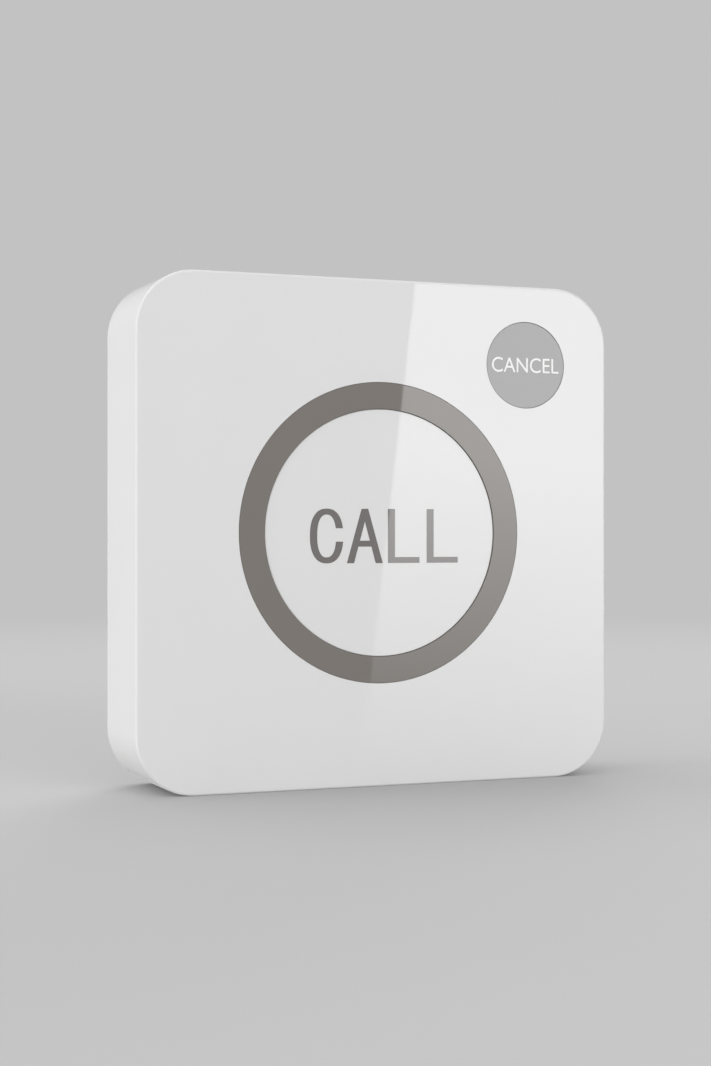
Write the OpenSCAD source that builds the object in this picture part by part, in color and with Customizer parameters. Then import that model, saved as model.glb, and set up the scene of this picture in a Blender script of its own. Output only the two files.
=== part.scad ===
// Wall-mounted nurse call button: a large call button inside a flush ring, a small cancel button,
// and a unit that hangs on the hooks of a screwed wall plate.
// Each piece is drawn as on a table, x to the right, y up the wall, z out of the wall.

/* [Housing] */
// Width and height of the square housing
body_w = 86; // [84:1:96]
// Depth from the wall to the front face
body_d = 19; // [18.5:0.5:22]
// Corner radius seen from the front
corner_r = 10; // [9:0.5:12]
// Rounding between the front face and the sides
edge_r = 0.6; // [0.3:0.1:1.2]
// Thickness of the side walls
wall_t = 2; // [1.6:0.1:2.2]
// Thickness of the front wall
front_t = 2; // [1.8:0.1:2.4]
// Gap between the rim of the housing and the wall
rim_gap = 0.5; // [0.3:0.1:0.9]
// Width of the inner ledge that the gasket sits on
ledge_w = 1.4; // [1.3:0.1:1.8]
// Height of the inner ledge
ledge_h = 1.6; // [1:0.1:2.4]

/* [Call button] */
// Outside diameter of the light ring
ring_d = 51; // [49:0.5:52]
// Bore of the light ring
ring_bore_d = 42; // [40:0.5:43]
// Width of the ring's flange behind the front wall
ring_flange_w = 2.5; // [2:0.1:3]
// Thickness of the ring's flange
ring_flange_t = 1.6; // [1.2:0.1:1.8]
// Chamfer on the front edges of the ring
ring_chamfer = 0.12; // [0.05:0.01:0.2]
// Wall of the ring's rear sleeve
sleeve_t = 1.6; // [1.2:0.1:1.8]
// Least step from that sleeve out to the hole in the front wall
sleeve_step = 1.5; // [1:0.1:1.5]
// How far the call cap lies below the ring
call_recess = 0.2; // [0:0.05:0.6]
// Travel of the call cap
call_travel = 1; // [0.6:0.1:1.1]
// Thickness of the call cap's face
call_face_t = 2.2; // [1.8:0.1:2.4]
// Rounding of the call cap's edge
call_edge_r = 0.4; // [0.2:0.05:0.8]
// Least length of the boss that presses the call switch
call_boss_l = 0.6; // [0.3:0.05:0.65]
// Length of the call cap's skirt
call_skirt_l = 3; // [2.6:0.1:3.2]
// Wall of the call cap's skirt
call_skirt_t = 1.7; // [1.4:0.1:2.2]
// Width of the flange that keeps the call cap in
call_flange_w = 1.4; // [1:0.1:1.6]
// Thickness of that flange
call_flange_t = 1.2; // [0.9:0.1:1.4]
// Radius of the circle of return springs
spring_circle_r = 14; // [13:0.5:15]
// Outside diameter of a return spring
spring_d = 4; // [3.6:0.1:4.4]
// Wire of a return spring
spring_wire = 0.4; // [0.3:0.05:0.5]
// Turns of a return spring
spring_turns = 4; // [3:1:5]

/* [Ring retainer] */
// Thickness of the retainer
retainer_t = 1.5; // [1.2:0.1:1.8]
// Distance of its screws outside the ring's flange
retainer_screw_out = 2.5; // [2.4:0.1:2.8]
// Radius of the posts it is screwed to
retainer_post_r = 2; // [1.8:0.1:2.2]
// Radius of its ears
retainer_ear_r = 2.8; // [2.6:0.1:3]
// Depth of its screws in the posts and the front wall
retainer_screw_bite = 2.1; // [1.6:0.1:2.4]

/* [Cancel button] */
// Diameter of the cancel cap
cancel_d = 15; // [13:0.5:16]
// Its centre from the right side of the housing
cancel_from_side = 15.8; // [15:0.1:18]
// Its centre from the top of the housing
cancel_from_top = 13.7; // [13:0.1:18]
// How far the cancel cap lies below the face
cancel_recess = 0.1; // [0:0.05:0.5]
// Travel of the cancel cap
cancel_travel = 0.8; // [0.5:0.1:0.9]
// Thickness of the cancel cap's face
cancel_face_t = 1.8; // [1.4:0.1:2]
// Rounding of the cancel cap's edge
cancel_edge_r = 0.3; // [0.1:0.05:0.6]
// Wall of the cancel cap's skirt
cancel_skirt_t = 1.6; // [1.2:0.1:2]
// Width of the flange that keeps the cancel cap in
cancel_flange_w = 1.1; // [0.9:0.1:1.3]
// Thickness of that flange
cancel_flange_t = 1.2; // [0.9:0.1:1.3]
// Length of the guide behind the front wall
cancel_guide_l = 1.5; // [1.2:0.1:1.7]
// Wall of that guide
cancel_guide_t = 1.5; // [1.3:0.1:1.7]
// Least gap between that guide and the ring's flange
cancel_clear = 0.4; // [0.2:0.1:1]

/* [Switches] */
// Side of the call switch
call_switch_w = 12; // [10:0.5:13]
// Height of the call switch's body
call_switch_h = 3; // [2.8:0.1:3.1]
// Diameter of the call switch's plunger
call_plunger_d = 7; // [5:0.5:7.5]
// Side of the cancel switch
cancel_switch_w = 6; // [5.5:0.5:7]
// Height of the cancel switch's body
cancel_switch_h = 2.2; // [2:0.1:2.3]
// Diameter of the cancel switch's plunger
cancel_plunger_d = 3.5; // [3:0.1:4]
// Part of a plunger that stays out of its switch when pressed
plunger_left = 0.3; // [0.2:0.05:0.35]
// Floor of a switch under its plunger
switch_floor = 0.6; // [0.4:0.05:0.7]

/* [Circuit board] */
// Thickness of the circuit board
board_t = 1.6; // [1:0.1:1.7]
// Gap between the board's edge and the ledge
board_edge_gap = 1.1; // [0.8:0.1:1.5]
// Corner radius of the board
board_corner_r = 6; // [3:0.5:7]
// Centre of a board screw from the side of the housing
board_post_in = 7.5; // [7.2:0.1:8]
// Radius of a board post
board_post_r = 2.3; // [2:0.1:2.5]
// Depth of a board screw in its post
board_screw_bite = 3; // [2:0.1:4]
// Least gap between the board and what moves or is screwed in front of it
board_clear = 0.5; // [0.3:0.1:0.8]
// Gap between the board and a screw boss
board_notch_gap = 0.5; // [0.3:0.1:0.8]
// Rows of small parts from the top and bottom of the board
part_inset = 4.3; // [4:0.1:4.5]
// Gap between small parts in a row
part_gap = 0.6; // [0.4:0.05:0.7]
// Number of LEDs under the ring
led_count = 8; // [4:1:12]
// Length of an LED
led_l = 2; // [1.6:0.1:2.2]
// Width of an LED
led_w = 1.2; // [0.8:0.1:1.3]
// Height of an LED
led_h = 0.6; // [0.4:0.05:0.7]
// Middle of the microcontroller, sideways
mcu_x = -20; // [-22:0.5:-18]
// Length of the microcontroller
mcu_l = 10; // [8:0.5:11]
// Width of the microcontroller's body
mcu_w = 4; // [3.5:0.1:4.5]
// Middle of the radio chip, sideways
radio_x = -23; // [-26:0.5:-22]
// Length of the radio chip
radio_l = 5; // [4:0.5:6]
// Height of the chips
chip_h = 1.5; // [1:0.1:2]
// Length of the crystal's can
crystal_l = 11; // [9:0.5:11.5]
// Width of the crystal's can
crystal_w = 4.6; // [4:0.1:5]
// Height of the crystal's can
crystal_h = 3.5; // [3:0.1:4]
// Start of the antenna coil, sideways
antenna_x = 8; // [5:0.5:12]
// Diameter of the antenna coil
antenna_d = 4.6; // [4:0.1:4.8]
// Wire of the antenna coil
antenna_wire = 0.8; // [0.6:0.05:0.9]
// Turns of the antenna coil
antenna_turns = 8; // [5:1:9]
// Pitch of the antenna coil
antenna_pitch = 2; // [1.6:0.1:2.1]

/* [Battery] */
// Diameter of the coin cell
cell_d = 24.5; // [20:0.5:24.5]
// Thickness of the coin cell
cell_t = 5; // [4:0.1:5.1]
// Thickness of the contact under the cell
contact_t = 0.3; // [0.2:0.05:0.4]
// Diameter of the contact under the cell
contact_d = 12; // [8:0.5:14]
// Width of the contact at the edge of the cell
side_contact_w = 6; // [4:0.5:7]
// Wall of the cell holder
holder_t = 1.6; // [1.2:0.1:2]
// Gap in the holder on each side of that contact
holder_gap = 1; // [0.5:0.1:1.5]
// Wall round the cell in the battery cap
battery_cap_wall = 1.4; // [1.2:0.1:1.8]
// How far the battery cap's lugs stand out
lug_out = 1.5; // [1.2:0.1:1.8]
// Height of the lugs
lug_h = 1; // [0.8:0.05:1.1]
// Angle that one lug spans
lug_angle = 22; // [16:1:26]
// Angle through which the battery cap turns to unlock
battery_turn = 40; // [35:1:50]
// Length of the coin slot
coin_slot_l = 16; // [12:0.5:18]
// Width of the coin slot
coin_slot_w = 2.2; // [1.8:0.1:2.6]
// Depth of the coin slot
coin_slot_deep = 0.9; // [0.6:0.05:1]
// Cord of the O-ring
oring_cord = 0.8; // [0.7:0.05:0.9]

/* [Rear cover] */
// Thickness of the rear cover
cover_t = 1.8; // [1.6:0.1:2]
// Thickness of the gasket
gasket_t = 1; // [0.8:0.1:1.2]
// Width of the gasket
gasket_w = 1; // [0.7:0.1:1]
// Centre of a corner screw from the side of the housing
cover_screw_in = 8.5; // [8.3:0.1:9]
// Height of the fourth screw above the middle
side_screw_up = 14; // [12:0.5:15]
// Diameter of a cover screw's thread
cover_screw_d = 2.4; // [2:0.1:2.6]
// Length of a cover screw under its head
cover_screw_l = 8; // [6:0.5:9]
// Radius of a screw boss
boss_r = 3; // [2.7:0.1:3.1]
// Depth of a screw head below the cover
head_sunk = 0.4; // [0.2:0.05:0.6]
// Cover left under a screw head
well_floor = 1.2; // [1:0.1:1.4]
// Wall round a screw head
well_t = 1.3; // [1:0.1:1.4]

/* [Small screws] */
// Diameter of the retainer and board screws
small_screw_d = 1.9; // [1.6:0.1:2]
// Height of the screw heads
head_h = 1.4; // [1.2:0.1:1.5]
// How much wider a head is than its thread, all round
head_over = 1.05; // [0.9:0.05:1.1]
// Arm length of the cross recess
cross_l = 2; // [1.6:0.1:2.2]
// Arm width of the cross recess
cross_w = 0.45; // [0.35:0.05:0.55]
// Depth of the cross recess
cross_deep = 0.7; // [0.5:0.05:0.9]

/* [Wall plate] */
// Width of the wall plate
plate_w = 72; // [71:0.5:74]
// Height of the wall plate
plate_h = 66; // [64:0.5:68]
// Thickness of the wall plate
plate_t = 2.4; // [2.2:0.1:2.6]
// Corner radius of the wall plate
plate_corner_r = 6; // [4:0.5:8]
// Diameter of the window in the wall plate
window_d = 38; // [34:0.5:38.5]
// Spacing of the two wall screws
wall_screw_spacing = 60; // [58:0.5:61]
// Hole for a wall screw
wall_screw_d = 4.5; // [4:0.1:4.8]
// Countersink of a wall screw
wall_head_d = 7.5; // [6.5:0.1:8]
// Width of a hook
hook_w = 7; // [6:0.1:7.2]
// Height of a hook's stem
hook_stem = 2.5; // [2:0.1:3]
// Length of a hook's lip
hook_lip = 4; // [3:0.1:4.2]
// Thickness of a hook's lip
hook_lip_t = 1.2; // [1:0.1:1.4]
// Hooks from the middle of the plate, sideways
hook_side = 25; // [24:0.1:25.5]
// Foot of the upper hooks above the middle
hook_up = 16; // [14:0.5:17]
// Foot of the lower hooks below the middle
hook_down = 24; // [22:0.5:25]
// How far the unit lifts to come off the hooks
lift_travel = 5; // [4.8:0.1:5.2]
// Length of a tape pad
tape_l = 46; // [30:1:48]
// Width of a tape pad
tape_w = 8; // [5:0.5:9]
// Thickness of a tape pad
tape_t = 0.8; // [0.5:0.1:1]
// Tape pad from the edge of the plate
tape_inset = 3; // [2:0.1:4]

/* [Fits] */
// Gap round a button in its hole
button_gap = 0.15; // [0.1:0.01:0.2]
// Gap between a stop and the button that rests on it
rest_gap = 0.05; // [0.02:0.01:0.1]
// Gap round a glued, clamped or screwed piece
fit_gap = 0.05; // [0.02:0.01:0.1]
// Gap round a plunger in its switch
plunger_gap = 0.1; // [0.06:0.01:0.1]
// Gap round the rear cover in the rim
cover_gap = 0.15; // [0.1:0.01:0.3]
// Gap between the battery cap and the cell, and round the rest that is dropped into place
loose_gap = 0.2; // [0.15:0.01:0.3]

/* [Hidden] */
$fn = 64;

white = "#e4e4e2";
back_white = "#dcdcd8";
taupe = "#7a7570";
grey = "#8e8e8e";
green = "#2f6b46";
black = "#262626";
steel = "#b4b4b0";
copper = "#b06a3c";
gold = "#c8a24a";
silicone = "#9aa0a2";
lens = "#f2efd8";

// Overlap of shapes that are fused, and overshoot of cuts
fuse = 0.2;

// Levels from the wall outwards
half = body_w / 2;
under_z = body_d - front_t;
cover_z0 = plate_t + loose_gap;
cover_z1 = cover_z0 + cover_t;
ledge_z0 = cover_z1 + gasket_t;
cell_seat = 0.3;

// Depth that the pieces in front of the board need. Where the housing leaves less, the board, the cell
// and the face of the battery cap sink towards the wall, into the window of the wall plate
call_room = call_recess + call_face_t + call_boss_l + rest_gap + call_travel + plunger_left + call_switch_h;
skirt_room = call_recess + call_face_t + call_skirt_l + call_travel + board_clear;
retainer_room = front_t + ring_flange_t + retainer_t + head_h + board_clear;
antenna_room = front_t + antenna_d + loose_gap + board_clear;
room = max(call_room, skirt_room, retainer_room, antenna_room);
sink = max(0, cover_z1 + cell_seat + cell_t + contact_t + board_t + room - body_d);

cell_z0 = cover_z1 + cell_seat - sink;
cell_z1 = cell_z0 + cell_t;
board_z0 = cell_z1 + contact_t;
board_z1 = board_z0 + board_t;
sleeve_z0 = board_z1 + led_h + fit_gap;

// Inside of the housing
inner_w = body_w - 2 * wall_t;
inner_r = corner_r - wall_t;
ledge_in_w = inner_w - 2 * ledge_w;

// Call button, ring and retainer
ring_r = ring_d / 2;
ring_bore_r = ring_bore_d / 2;
call_r = ring_bore_r - button_gap;
call_top = body_d - call_recess;
call_under = call_top - call_face_t;
call_foot = call_under - call_skirt_l;
call_shoulder = call_foot + call_flange_t + rest_gap;
call_flange_r = call_r + call_flange_w;
sleeve_bore_r = call_flange_r + button_gap;
sleeve_r = sleeve_bore_r + sleeve_t;
ring_flange_r = max(ring_r, sleeve_r + sleeve_step) + ring_flange_w;
retainer_z1 = under_z - ring_flange_t;
retainer_z0 = retainer_z1 - retainer_t;
retainer_screw_r = ring_flange_r + retainer_screw_out;
retainer_angles = [15, 135, 255];
retainer_screw_l = retainer_t + retainer_screw_bite;

// Cancel button, in its corner or as far out as the ring pushes it
cancel_r = cancel_d / 2;
cancel_hole_r = cancel_r + button_gap;
cancel_corner = [half - cancel_from_side, half - cancel_from_top];
cancel_least = ring_flange_r + cancel_clear + cancel_hole_r + cancel_guide_t;
cancel_push = max(1, cancel_least / norm(cancel_corner));
cancel_x = cancel_corner[0] * cancel_push;
cancel_y = cancel_corner[1] * cancel_push;
cancel_top = body_d - cancel_recess;
cancel_guide_z = under_z - cancel_guide_l;
cancel_stop_z = cancel_guide_z - rest_gap;
cancel_foot = cancel_stop_z - cancel_flange_t;

// Switches
call_switch_top = board_z1 + call_switch_h;
call_plunger_top = call_switch_top + plunger_left + call_travel;
cancel_switch_top = board_z1 + cancel_switch_h;
cancel_plunger_top = cancel_switch_top + plunger_left + cancel_travel;

// Circuit board and its posts
board_w = ledge_in_w - 2 * board_edge_gap;
board_post = half - board_post_in;
board_posts = [[board_post, 0], [0, board_post], [-board_post, 0], [0, -board_post]];
board_hole_r = small_screw_d / 2 + loose_gap;
board_screw_l = board_t + board_screw_bite;

// Two rows of parts on the board, outside the retainer
part_row = board_w / 2 - part_inset;
part_l = 2;
part_w = 1.2;
part_h = 0.6;
part_step = part_w + part_gap;
mcu_legs = 8;
radio_legs = 4;
low_parts = 4;
low_parts_x = mcu_x + mcu_l / 2 + part_gap;
top_parts = 3;
top_parts_x = radio_x + radio_l / 2 + part_gap;
crystal_x = top_parts_x + top_parts * part_step + crystal_l / 2;
antenna_z = board_z1 + antenna_d / 2 + loose_gap;

// Rear cover and its screws
cover_w = inner_w - 2 * cover_gap;
cover_corner_r = inner_r - cover_gap;
corner_screw = half - cover_screw_in;
cover_spots = [
    [-corner_screw, corner_screw, -1, 1], [-corner_screw, -corner_screw, -1, -1],
    [corner_screw, -corner_screw, 1, -1], [corner_screw, side_screw_up, 1, 0]
];
cover_head_r = cover_screw_d / 2 + head_over;
well_z = cover_z0 + head_sunk + head_h;
boss_z0 = well_z + well_floor + fit_gap;
well_r = cover_head_r + loose_gap + well_t;
board_notch = boss_r + board_notch_gap;

// Battery cap
cell_r = cell_d / 2;
battery_cap_r = cell_r + loose_gap + battery_cap_wall;
battery_hole_r = battery_cap_r + loose_gap;
lug_r = battery_cap_r + lug_out;
lug_z0 = cover_z1 + fit_gap;
lug_z1 = lug_z0 + lug_h;
lug_angles = [90, 210, 330];
holder_z0 = lug_z1 + loose_gap;
holder_in_r = cell_r + 2 * loose_gap;
oring_z = cover_z0 + cover_t / 2;
oring_r = battery_cap_r - oring_cord / 2 + fit_gap;

// Wall plate
hook_z0 = cover_z1 + loose_gap;
hook_z1 = hook_z0 + hook_lip_t;
hook_spots = [[-hook_side, hook_up], [hook_side, hook_up], [-hook_side, -hook_down], [hook_side, -hook_down]];
tape_y = plate_h / 2 - tape_w / 2 - tape_inset;

// Stands a piece drawn on the table upright, with its front towards -Y
module upright() {
    rotate([90, 0, 0]) children();
}

module rounded_rect(w, h, r) {
    square([w - 2 * r, h], center = true);
    square([w, h - 2 * r], center = true);
    for (x = [-1, 1], y = [-1, 1]) translate([x * (w / 2 - r), y * (h / 2 - r)]) circle(r);
}

module slab(w, h, r, z0, z1) {
    translate([0, 0, z0]) linear_extrude(z1 - z0) rounded_rect(w, h, r);
}

module tube(r_out, r_in, z0, z1) {
    translate([0, 0, z0]) difference() {
        cylinder(r = r_out, h = z1 - z0);
        translate([0, 0, -fuse]) cylinder(r = r_in, h = z1 - z0 + 2 * fuse);
    }
}

module rod(r, z0, z1) {
    translate([0, 0, z0]) cylinder(r = r, h = z1 - z0);
}

// Half of a section whose outer top corner is rounded
module soft_section(w, e, z0, z1) {
    translate([0, z0]) square([w - e, z1 - z0]);
    translate([0, z0]) square([w, z1 - z0 - e]);
    translate([w - e, z1 - e]) circle(e);
}

// Square block with round corners and a rounded front edge
module soft_block(w, r, e, z0, z1) {
    span = w - 2 * r;
    translate([-span / 2, -span / 2, z0]) cube([span, span, z1 - z0]);
    for (turn = [0:90:270]) rotate([0, 0, turn]) {
        translate([span / 2, span / 2, 0]) {
            rotate_extrude(angle = 90) soft_section(r, e, z0, z1);
            rotate([90, 0, 0]) linear_extrude(span) soft_section(r, e, z0, z1);
        }
    }
}

// Disc with a rounded front edge
module soft_disc(r, e, z0, z1) {
    rotate_extrude() soft_section(r, e, z0, z1);
}

// Pan head screw along z, with its thread from z0 up and its head below
module screw(d, l, z0) {
    difference() {
        union() {
            rod(d / 2 + head_over, z0 - head_h, z0);
            rod(d / 2, z0 - fuse, z0 + l);
        }
        for (turn = [0, 90]) rotate([0, 0, turn])
            translate([-cross_l / 2, -cross_w / 2, z0 - head_h - fuse])
                cube([cross_l, cross_w, cross_deep + fuse]);
    }
}

// Tube with six sides along a list of points; none of its runs is parallel to the reference
function heading(p, i) =
    let (d = p[min(i + 1, len(p) - 1)] - p[max(i - 1, 0)]) d / norm(d);

module wire(path, r, reference) {
    sides = 6;
    last = len(path) - 1;
    points = [
        for (i = [0:last])
            let (t = heading(path, i), side = cross(reference, t), u = side / norm(side), v = cross(t, u))
                for (k = [0:sides - 1]) path[i] + r * (cos(360 * k / sides) * u + sin(360 * k / sides) * v)
    ];
    faces = [
        for (i = [0:last - 1], k = [0:sides - 1])
            let (a = i * sides + k, b = i * sides + (k + 1) % sides)
                each [[a, a + sides, b], [b, a + sides, b + sides]],
        for (k = [1:sides - 2]) each [[0, k, k + 1], [last * sides, last * sides + k + 1, last * sides + k]]
    ];
    polyhedron(points, faces);
}

// Points of a helix that climbs along z
function helix(r, pitch, turns, z0) =
    let (steps = 8) [
        for (i = [0:turns * steps])
            let (turn = i / steps) [r * cos(360 * turn), r * sin(360 * turn), z0 + pitch * turn]
    ];

module at_cover_spots() {
    for (spot = cover_spots) translate([spot[0], spot[1], 0]) children();
}

module at_board_posts() {
    for (spot = board_posts) translate([spot[0], spot[1], 0]) children();
}

module at_retainer_posts() {
    for (turn = retainer_angles) rotate([0, 0, turn]) translate([retainer_screw_r, 0, 0]) children();
}

module at_springs() {
    for (turn = [90, 210, 330]) rotate([0, 0, turn]) translate([spring_circle_r, 0, 0]) children();
}

module front_shell() {
    color(white) upright() difference() {
        union() {
            difference() {
                soft_block(body_w, corner_r, edge_r, rim_gap, body_d);
                slab(inner_w, inner_w, inner_r, rim_gap - fuse, under_z);
            }
            difference() {
                slab(inner_w + fuse, inner_w + fuse, inner_r + fuse / 2, ledge_z0, ledge_z0 + ledge_h);
                slab(ledge_in_w, ledge_in_w, inner_r - ledge_w, ledge_z0 - fuse, ledge_z0 + ledge_h + fuse);
            }
            at_cover_spots() rod(boss_r, boss_z0, under_z + fuse);
            at_board_posts() rod(board_post_r, board_z1, under_z + fuse);
            at_retainer_posts() rod(retainer_post_r, retainer_z1, under_z + fuse);
            translate([cancel_x, cancel_y, 0])
                rod(cancel_hole_r + cancel_guide_t, cancel_guide_z, under_z + fuse);
        }
        rod(ring_r + fit_gap, under_z - fuse, body_d + fuse);
        translate([cancel_x, cancel_y, 0]) rod(cancel_hole_r, cancel_guide_z - fuse, body_d + fuse);
        at_cover_spots() rod(cover_screw_d / 2 + fit_gap, boss_z0 - fuse, well_z + cover_screw_l + fuse);
        at_board_posts() rod(small_screw_d / 2 + fit_gap, board_z1 - fuse, board_z0 + board_screw_l + fuse);
        at_retainer_posts()
            rod(small_screw_d / 2 + fit_gap, retainer_z1 - fuse, retainer_z0 + retainer_screw_l + fuse);
    }
}

module light_ring() {
    color(taupe) upright() rotate_extrude() polygon([
        [ring_bore_r, call_shoulder], [ring_bore_r, body_d - ring_chamfer],
        [ring_bore_r + ring_chamfer, body_d], [ring_r - ring_chamfer, body_d],
        [ring_r, body_d - ring_chamfer], [ring_r, under_z],
        [ring_flange_r, under_z], [ring_flange_r, retainer_z1], [sleeve_r, retainer_z1],
        [sleeve_r, sleeve_z0], [sleeve_bore_r, sleeve_z0], [sleeve_bore_r, call_shoulder]
    ]);
}

module call_cap() {
    pin_r = spring_d / 2 - spring_wire - loose_gap;
    pin_l = 1.5;
    color(white) upright() {
        soft_disc(call_r, call_edge_r, call_under, call_top);
        tube(call_r, call_r - call_skirt_t, call_foot, call_under + fuse);
        tube(call_flange_r, call_r - call_skirt_t, call_foot, call_foot + call_flange_t);
        rod(call_plunger_d / 2, call_plunger_top + rest_gap, call_under + fuse);
        at_springs() rod(pin_r, call_under - pin_l, call_under + fuse);
    }
}

module call_springs() {
    wire_r = spring_wire / 2;
    foot = board_z1 + wire_r + fit_gap;
    pitch = (call_under - wire_r - fit_gap - foot) / spring_turns;
    coil = helix(spring_d / 2 - wire_r, pitch, spring_turns, foot);
    echo(least_gap_of_a_return_spring = pitch - spring_wire);
    color(steel) upright() at_springs() wire(coil, wire_r, [0, 0, 1]);
}

module ring_retainer() {
    color(white) upright() difference() {
        union() {
            rod(ring_flange_r, retainer_z0, retainer_z1);
            at_retainer_posts() rod(retainer_ear_r, retainer_z0, retainer_z1);
        }
        rod(sleeve_r + loose_gap, retainer_z0 - fuse, retainer_z1 + fuse);
        at_retainer_posts() rod(small_screw_d / 2 + loose_gap, retainer_z0 - fuse, retainer_z1 + fuse);
    }
}

module retainer_screws() {
    color(steel) upright() at_retainer_posts() screw(small_screw_d, retainer_screw_l, retainer_z0);
}

module cancel_cap() {
    color(grey) upright() translate([cancel_x, cancel_y, 0]) {
        soft_disc(cancel_r, cancel_edge_r, cancel_top - cancel_face_t, cancel_top);
        tube(cancel_r, cancel_r - cancel_skirt_t, cancel_foot, cancel_top - cancel_face_t + fuse);
        tube(cancel_r + cancel_flange_w, cancel_r - cancel_skirt_t, cancel_foot, cancel_stop_z);
        rod(cancel_plunger_d / 2, cancel_plunger_top + rest_gap, cancel_top - cancel_face_t + fuse);
    }
}

module circuit_board() {
    out = board_w;
    color(green) upright() difference() {
        slab(board_w, board_w, board_corner_r, board_z0, board_z1);
        for (spot = cover_spots) translate([spot[0], spot[1], board_z0 - fuse]) {
            x0 = spot[2] < 0 ? -out : -board_notch;
            y0 = spot[3] < 0 ? -out : -board_notch;
            x1 = spot[2] > 0 ? out : board_notch;
            y1 = spot[3] > 0 ? out : board_notch;
            translate([x0, y0, 0]) cube([x1 - x0, y1 - y0, board_t + 2 * fuse]);
        }
        at_board_posts() rod(board_hole_r, board_z0 - fuse, board_z1 + fuse);
    }
}

module board_screws() {
    color(steel) upright() at_board_posts() screw(small_screw_d, board_screw_l, board_z0);
}

// Square switch body with a blind bore for its plunger
module switch_body(w, h, plunger_d) {
    difference() {
        translate([-w / 2, -w / 2, board_z1]) cube([w, w, h]);
        rod(plunger_d / 2 + plunger_gap, board_z1 + switch_floor, board_z1 + h + fuse);
    }
}

module call_switch() {
    color(black) upright() switch_body(call_switch_w, call_switch_h, call_plunger_d);
}

module call_plunger() {
    color(white) upright()
        rod(call_plunger_d / 2, board_z1 + switch_floor + call_travel + rest_gap, call_plunger_top);
}

module cancel_switch() {
    color(black) upright() translate([cancel_x, cancel_y, 0])
        switch_body(cancel_switch_w, cancel_switch_h, cancel_plunger_d);
}

module cancel_plunger() {
    color(white) upright() translate([cancel_x, cancel_y, 0])
        rod(cancel_plunger_d / 2, board_z1 + switch_floor + cancel_travel + rest_gap, cancel_plunger_top);
}

module ring_leds() {
    led_circle_r = (sleeve_bore_r + sleeve_r) / 2;
    color(lens) upright() for (i = [0:led_count - 1]) rotate([0, 0, 360 * i / led_count])
        translate([led_circle_r - led_w / 2, -led_l / 2, board_z1]) cube([led_w, led_l, led_h]);
}

// Chip with a row of bent legs along each long side
module chip(l, w, legs) {
    leg_w = 0.4;
    leg_t = 0.25;
    leg_out = 1;
    stand = 0.15;
    pitch = l / legs;
    translate([-l / 2, -w / 2, board_z1 + stand]) cube([l, w, chip_h]);
    for (side = [0, 180], i = [0:legs - 1]) rotate([0, 0, side])
        translate([(i - (legs - 1) / 2) * pitch - leg_w / 2, w / 2, board_z1]) {
            translate([0, -fuse, stand + chip_h / 2]) cube([leg_w, leg_out / 2 + fuse, leg_t]);
            translate([0, leg_out / 2 - leg_t, 0]) cube([leg_w, leg_t, stand + chip_h / 2 + leg_t]);
            translate([0, leg_out / 2 - leg_t, 0]) cube([leg_w, leg_out / 2 + leg_t, leg_t]);
        }
}

module microcontroller() {
    color(black) upright() translate([mcu_x, -part_row, 0]) chip(mcu_l, mcu_w, mcu_legs);
}

module radio_chip() {
    color(black) upright() translate([radio_x, part_row, 0]) chip(radio_l, mcu_w, radio_legs);
}

// Crystal can with a wider base
module crystal() {
    base_h = 0.6;
    rim = 0.4;
    r = crystal_w / 2 - rim;
    color(steel) upright() translate([crystal_x, part_row, 0]) {
        slab(crystal_l, crystal_w, crystal_w / 2 - fuse, board_z1, board_z1 + base_h);
        slab(crystal_l - 2 * rim, crystal_w - 2 * rim, r - fuse, board_z1, board_z1 + crystal_h);
    }
}

// Coil that lies along x, with one leg down to the board
module antenna_coil() {
    wire_r = antenna_wire / 2;
    r = antenna_d / 2 - wire_r;
    coil = [
        for (p = helix(r, antenna_pitch, antenna_turns, antenna_x)) [p[2], -part_row - p[1], antenna_z - p[0]]
    ];
    echo(least_gap_of_the_antenna_coil = antenna_pitch - antenna_wire);
    color(copper) upright() {
        wire(coil, wire_r, [1, 0, 0]);
        for (end = [antenna_x, antenna_x + antenna_pitch * antenna_turns])
            translate([end, -part_row, 0]) rod(wire_r, board_z1, antenna_z - r);
    }
}

// Small resistors and capacitors in one row
module part_rows(count, x, y) {
    for (i = [0:count - 1]) translate([x + i * part_step, y - part_l / 2, board_z1])
        cube([part_w, part_l, part_h]);
}

module chip_parts() {
    color(lens) upright() {
        part_rows(low_parts, low_parts_x, -part_row);
        part_rows(top_parts, top_parts_x, part_row);
    }
}

module cell_holder() {
    gap_w = side_contact_w + 2 * holder_gap;
    color(black) upright() difference() {
        tube(holder_in_r + holder_t, holder_in_r, holder_z0, board_z0);
        translate([0, -gap_w / 2, holder_z0 - fuse]) cube([cell_d, gap_w, cell_t + 2 * fuse]);
    }
}

// Springy disc under the cell
module cell_contact() {
    color(gold) upright() tube(contact_d / 2, contact_d / 6, cell_z1, board_z0);
}

// Strip that presses on the edge of the cell, with a foot on the board
module side_contact() {
    strip_t = loose_gap;
    foot_l = 3;
    color(gold) upright() {
        translate([cell_r + fit_gap, -side_contact_w / 2, cell_z0 + cell_t / 2])
            cube([strip_t, side_contact_w, cell_t / 2 + contact_t]);
        translate([cell_r + fit_gap, -side_contact_w / 2, board_z0 - contact_t])
            cube([foot_l, side_contact_w, contact_t]);
    }
}

module coin_cell() {
    rim = 1.2;
    step = 0.4;
    color(steel) upright() {
        rod(cell_r, cell_z0, cell_z1 - step);
        rod(cell_r - rim, cell_z1 - step - fuse, cell_z1);
    }
}

// Sectors in the places of the battery cap's lugs
module lug_ring(r, angle, z0, z1) {
    for (turn = lug_angles) rotate([0, 0, turn - angle / 2]) translate([0, 0, z0])
        rotate_extrude(angle = angle) square([r, z1 - z0]);
}

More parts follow.
